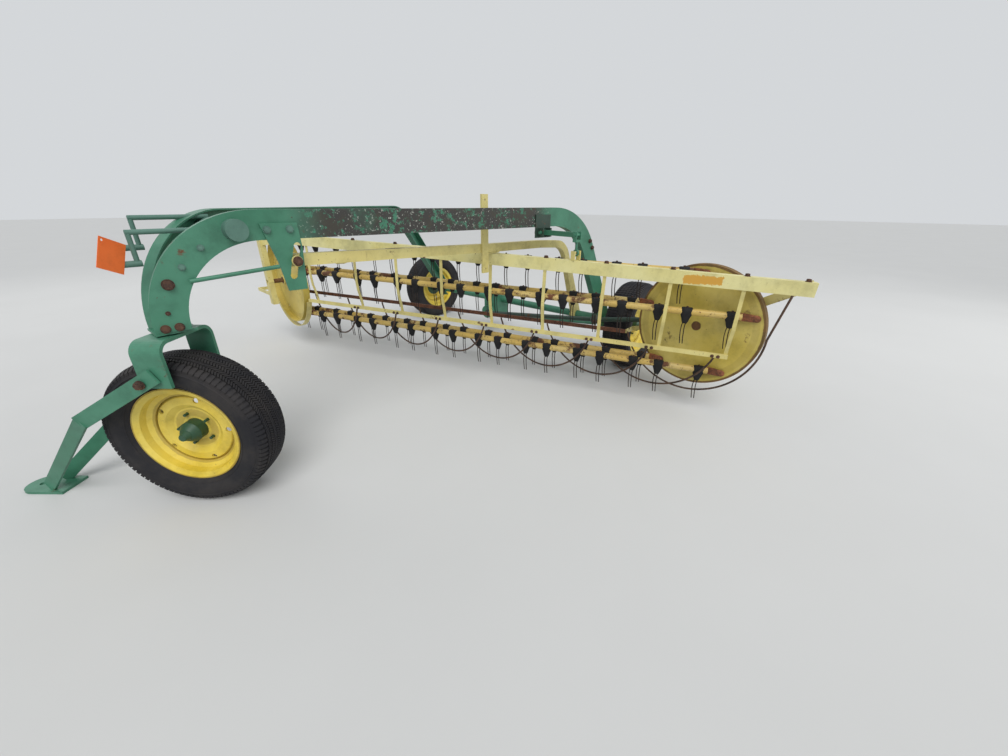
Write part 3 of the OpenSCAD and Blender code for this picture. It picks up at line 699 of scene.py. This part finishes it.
# Tined reel. Stations are counted along the shaft from the rear disc. A bar's tube starts BAR_END along the shaft from
# its pin, and BAR_LEAD further along itself
BAR_RADIUS = 0.020
BAR_END = 0.022
BAR_LEAD = 0.012
STRIP_FIRST = 0.095
STRIP_PITCH = 0.140
BAYS = 8
STRIP_STATIONS = [STRIP_FIRST + STRIP_PITCH * bay for bay in range(BAYS)]
TINE_STATIONS = [STRIP_FIRST - 0.35 * STRIP_PITCH] + [STRIP_FIRST + STRIP_PITCH * (bay + share)
                                                      for bay in range(BAYS) for share in (0.29, 0.71)]
MOUNT_SIDES = 16


def flattened(value):
    """A sine or cosine cut off at 1, which gives a round section four flats."""
    return max(-1, min(1, 1.18 * value))


def build_mount(shape):
    """Rubber mount of a tine pair: a clamp round the bar that narrows to a pear below. z is up, x along the bar."""
    rows = [(0.024, 0.026, 0.0120), (0.020, 0.030, 0.0210), (0.004, 0.0325, 0.0232), (-0.010, 0.0325, 0.0222),
            (-0.024, 0.029, 0.0170), (-0.040, 0.0225, 0.0150), (-0.058, 0.0175, 0.0125), (-0.070, 0.0125, 0.0095)]
    loops = []
    angles = [2 * math.pi * i / MOUNT_SIDES for i in range(MOUNT_SIDES)]
    for z, wide, deep in rows:
        loops.append([shape.verts.new((wide * flattened(math.cos(angle)), deep * flattened(math.sin(angle)), z))
                      for angle in angles])
    for low, high in zip(loops, loops[1:]):
        for i in range(MOUNT_SIDES):
            j = (i + 1) % MOUNT_SIDES
            shape.faces.new((low[i], low[j], high[j], high[i]))
    shape.faces.new(loops[0])
    shape.faces.new(loops[-1])


MOUNT = hidden_shape("mount_shape", build_mount, smooth=True)

# How far a bar runs across for each metre along the discs' shafts
BAR_SLANT = 2.414
# Outline and levels, away from the disc, of the boss over its pin
BOSS = [(0.0, 0.0035), (0.0185, 0.0035), (0.0185, 0.0112), (0.0120, 0.0140), (0.0120, 0.0235), (0.0, 0.0235)]


def build_casting(shape):
    """End casting of a bar: a flat arm with a round boss over the disc's pin and a fork on the bar's end.

    x runs along the arm from the pin, z is the disc's shaft away from the disc. Arm and fork lean with the bar.
    """
    far, half = 0.075, 0.0195
    round_end = [math.pi / 2 + math.pi * i / 12 for i in range(13)]
    arm = [(-0.008 + half * math.cos(angle), half * math.sin(angle)) for angle in round_end]
    arm += [(far - 0.010, -half), (far, -half + 0.008), (far, half - 0.008), (far - 0.010, half)]
    prism(shape, arm, 0.0100, 0.0220, 0.0120 * BAR_SLANT)
    lathe(shape, BOSS, 20)
    for side in (-1, 1):
        near_y, far_y = side * 0.0165, side * 0.0212
        fork = [(0.024, near_y), (0.064, near_y), (0.064, far_y), (0.024, far_y)]
        # Both outlines run the same way round
        prism(shape, fork[::side], 0.0100, 0.0400, 0.0300 * BAR_SLANT)


# A tine wire: half its pair's gap, how far below the bar's middle it leaves the mount, and from there to its knee
WIRE_OUT = 0.008
WIRE_FOOT = 0.056
WIRE_KNEE = 0.062
WIRE_RADIUS = 0.0028
TINE_LENGTH = 0.195
CLAMP_HEIGHT = 0.0235


def tine_wire(place, side, sway):
    """Points of one wire of a pair, from inside the mount to the tip, which sway moves along and across the bar."""
    foot = place + REEL_WAY * WIRE_OUT * side - UP * WIRE_FOOT
    knee = foot + REEL_WAY * (0.001 * side) - UP * WIRE_KNEE - ACROSS * 0.005
    tip = place + REEL_WAY * (0.0078 * side + sway * 0.5) - UP * TINE_LENGTH + ACROSS * (0.002 + sway * 0.4)
    thigh, shin = (foot + knee) / 2 - ACROSS * 0.002, (knee + tip) / 2 - ACROSS * 0.001
    return foot + UP * 0.006, foot, thigh, knee, shin, tip


CASTING = hidden_shape("casting_shape", build_casting)
wander = random.Random(7)
for number in range(1, 6):
    body = "tine_bar_%d" % number
    pivot, _ = joint_at(body + "_pivot")
    start, end = pivot + REEL_RUN * (BAR_END / REEL_SPAN), pivot + REEL_RUN * (1 - BAR_END / REEL_SPAN)
    lead = REEL_WAY * BAR_LEAD
    tube = rods(body + "_tube", [(start + lead, end - lead)], BAR_RADIUS, tube_paint, body, 20)
    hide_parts(body)
    spots, wires, clamps = [], [], []
    for station in TINE_STATIONS:
        place = pivot + REEL_RUN * (station / REEL_SPAN)
        spots.append((place, UP, REEL_WAY, 1.0))
        clamps.append((place + UP * CLAMP_HEIGHT, UP, REEL_WAY, 0.016))
        wires += [tine_wire(place, side, wander.uniform(-0.006, 0.006)) for side in (-1, 1)]
    copies(body + "_mounts", MOUNT, spots, mount_rubber, body)
    copies(body + "_bolts", BOLT, clamps, bolt_iron, body)
    rods(body + "_wires", wires, WIRE_RADIUS, wire_steel, body, 6)
    ends = [(pivot, SHAFT, -ACROSS, 1.0), (pivot + REEL_RUN, -SHAFT, ACROSS, 1.0)]
    copies(body + "_castings", CASTING, ends, casting_rust, body)


# Small fasteners. A bolt's size is the width of its washer
def side_of(way):
    """Any way square to the bolt's own."""
    return way.cross(UP).normalized() if abs(way.z) < 0.9 else Vector((1, 0, 0))


def bolt_row(name, spots, material, body):
    """Bolts on spots (point, way, size)."""
    copies(name, BOLT, [(point, way, side_of(way), size) for point, way, size in spots], material, body)


def beam_spots(table, out=0.0):
    """Bolts on the left beam, from a table of how far back from its head, how high and how large they are."""
    return [(on_beam(u, z, out), BEAM_OUT, size) for u, z, size in table]


BEAM_BOLTS = [(0.058, 0.936, 0.040), (0.009, 0.779, 0.032), (0.051, 0.780, 0.032), (0.031, 0.835, 0.016),
              (2.464, 0.961, 0.030), (2.495, 0.914, 0.030)]
PALE_BOLTS = [(0.185, 1.056, 0.024), (0.113, 0.993, 0.024)]
HANGER_BOLTS = [(0.412, 1.110, 0.030), (0.495, 1.110, 0.030)]
HANGER_THICKNESS = 0.010
bolt_row("beam_bolts", beam_spots(BEAM_BOLTS), bolt_iron, "frame")
bolt_row("beam_pale_bolts", beam_spots(PALE_BOLTS) + beam_spots(HANGER_BOLTS, HANGER_THICKNESS), grey_green_paint,
         "frame")

# Bolts on the top rail, one over each strap and one at the rail's near end: how far they stand above its middle
# and behind it
RAIL_TOP = 0.036
RAIL_BACK = 0.016
RAIL_END = -0.010


def rail_spots(stations):
    """Bolts on the top rail at these stations."""
    return [(on_top_rail(x) + UP * RAIL_TOP - REEL_OUT * RAIL_BACK, UP, 0.030) for x in stations]


bolt_row("top_rail_bolts", rail_spots(STRIP_STATIONS), bolt_iron, "basket")
bolt_row("rail_end_bolt", rail_spots([RAIL_END]), bolt_iron, "basket")

# The washered nut on the basket's front pin, and those on the pin that the tongue's bars turn on
basket_pin = machine(2.234, 0.174, 0.985)
bolt_row("basket_pin_nut", [(basket_pin, ACROSS_WHEELS, 0.040)], bolt_iron, "basket")
TONGUE_PIN_HALF = 0.163
tongue_pin, tongue_turn = joint_at("tongue_lift")
bolt_row("tongue_pin_nuts", [(tongue_pin + tongue_turn * (side * TONGUE_PIN_HALF), tongue_turn * side, 0.036)
                             for side in (-1, 1)], bolt_iron, "dolly")

# Two small bolts at each strap's foot, which hold the hoops to the lower rail
HOOP_RADIUS = 0.415
HOOP_START = math.radians(18)
LOW_ACROSS, LOW_HEIGHT = HOOP_RADIUS * math.cos(HOOP_START), -HOOP_RADIUS * math.sin(HOOP_START)
bolt_row("hoop_bolts", [(on_reel_axis(x + shift) + ACROSS * LOW_ACROSS + UP * (LOW_HEIGHT - 0.004) + REEL_OUT * 0.006,
                         REEL_OUT, 0.020) for x in STRIP_STATIONS for shift in (-0.006, 0.006)],
         bolt_iron, "basket")


# Stage. Lamps: name, kind, place, energy and size, which is an angle for the sun
LAMPS = (("key", "SUN", (3.5, 4.5, 7.0), 2.1, 0.75), ("fill", "AREA", (-4.0, 5.5, 4.0), 90, 5.0),
         ("rim", "AREA", (1.5, -6.0, 5.0), 60, 5.0))
LIT_MIDDLE = Vector((0, 0, 0.5))


def build_stage():
    """A pale floor and a soft studio light."""
    mesh = bpy.data.meshes.new("floor")
    size = 40.0
    mesh.from_pydata([(-size, -size, 0), (size, -size, 0), (size, size, 0), (-size, size, 0)], [], [(0, 1, 2, 3)])
    floor = bpy.data.objects.new("floor", mesh)
    bpy.context.scene.collection.objects.link(floor)
    material, bsdf = shader("pale_floor", roughness=0.9)
    on = Pattern(material)
    on.link(on.mix(on.noise(1.3, 3), (0.60, 0.60, 0.585), (0.64, 0.64, 0.625)), bsdf.inputs["Base Color"])
    mesh.materials.append(material)
    world = bpy.data.worlds.new("studio")
    world.use_nodes = True
    tree = world.node_tree
    back = tree.nodes["Background"]
    back.inputs["Color"].default_value = (0.86, 0.90, 0.96, 1)
    back.inputs["Strength"].default_value = 0.46
    shown = tree.nodes.new("ShaderNodeBackground")
    shown.inputs["Color"].default_value = (0.66, 0.68, 0.70, 1)
    rays = tree.nodes.new("ShaderNodeLightPath")
    choice = tree.nodes.new("ShaderNodeMixShader")
    seen = rays.outputs["Is Camera Ray"]
    for kind in ("Is Glossy Ray", "Is Transmission Ray"):
        both = tree.nodes.new("ShaderNodeMath")
        both.operation = "MAXIMUM"
        tree.links.new(seen, both.inputs[0])
        tree.links.new(rays.outputs[kind], both.inputs[1])
        seen = both.outputs[0]
    tree.links.new(seen, choice.inputs[0])
    tree.links.new(back.outputs[0], choice.inputs[1])
    tree.links.new(shown.outputs[0], choice.inputs[2])
    tree.links.new(choice.outputs[0], tree.nodes["World Output"].inputs["Surface"])
    bpy.context.scene.world = world
    for name, kind, spot, energy, size in LAMPS:
        data = bpy.data.lights.new(name, kind)
        data.energy = energy
        if kind == "SUN":
            data.angle = size
        else:
            data.size = size
        lamp = bpy.data.objects.new(name, data)
        lamp.location = spot
        lamp.rotation_euler = (LIT_MIDDLE - Vector(spot)).to_track_quat("-Z", "Y").to_euler()
        bpy.context.scene.collection.objects.link(lamp)


def build_camera():
    """A wide lens at a standing person's height, in front of the rake's left side."""
    data = bpy.data.cameras.new("camera")
    data.sensor_width = 36.0
    data.lens = 14.01
    camera = bpy.data.objects.new("camera", data)
    place = Vector((1.531, 2.077, 1.215))
    look = Vector((-0.7040, -0.5803, -0.4094)).normalized()
    roll = 0.0054
    turn = look.to_track_quat("-Z", "Y").to_matrix() @ Matrix.Rotation(roll, 3, "Z")
    camera.matrix_world = Matrix.Translation(place) @ turn.to_4x4()
    bpy.context.scene.collection.objects.link(camera)
    bpy.context.scene.camera = camera


build_stage()
build_camera()
bpy.context.scene.view_settings.view_transform = "Standard"
